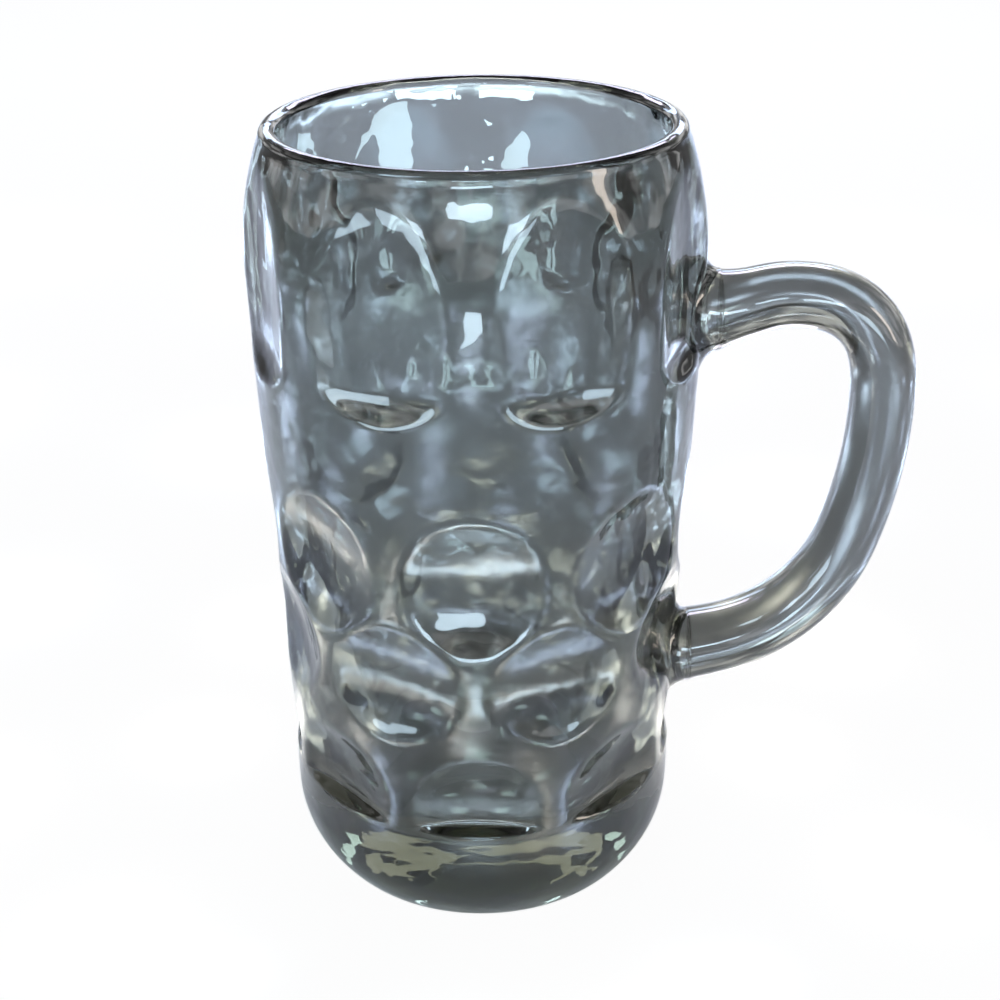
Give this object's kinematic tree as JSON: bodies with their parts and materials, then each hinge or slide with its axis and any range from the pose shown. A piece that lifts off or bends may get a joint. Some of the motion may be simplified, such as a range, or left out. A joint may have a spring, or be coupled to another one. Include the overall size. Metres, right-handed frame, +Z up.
{
  "type": "dimpled glass beer mug",
  "caption": "Tall heavy glass beer mug with rows of round dimples, tall panels under the rim and a fused loop handle.",
  "frame": {"origin": "middle of the foot, on the surface that the mug stands on", "axes": "+Z up along the body's axis, towards the mouth; +X from the body's axis towards the handle"},
  "size_m": [0.1659, 0.1124, 0.2],
  "materials": {
    "glass": "pressed and fire-polished clear soda-lime glass"
  },
  "bodies": {
    "root": {"body": "glass", "handle": "glass", "upper_weld": "glass", "lower_weld": "glass"}
  },
  "joints": []
}
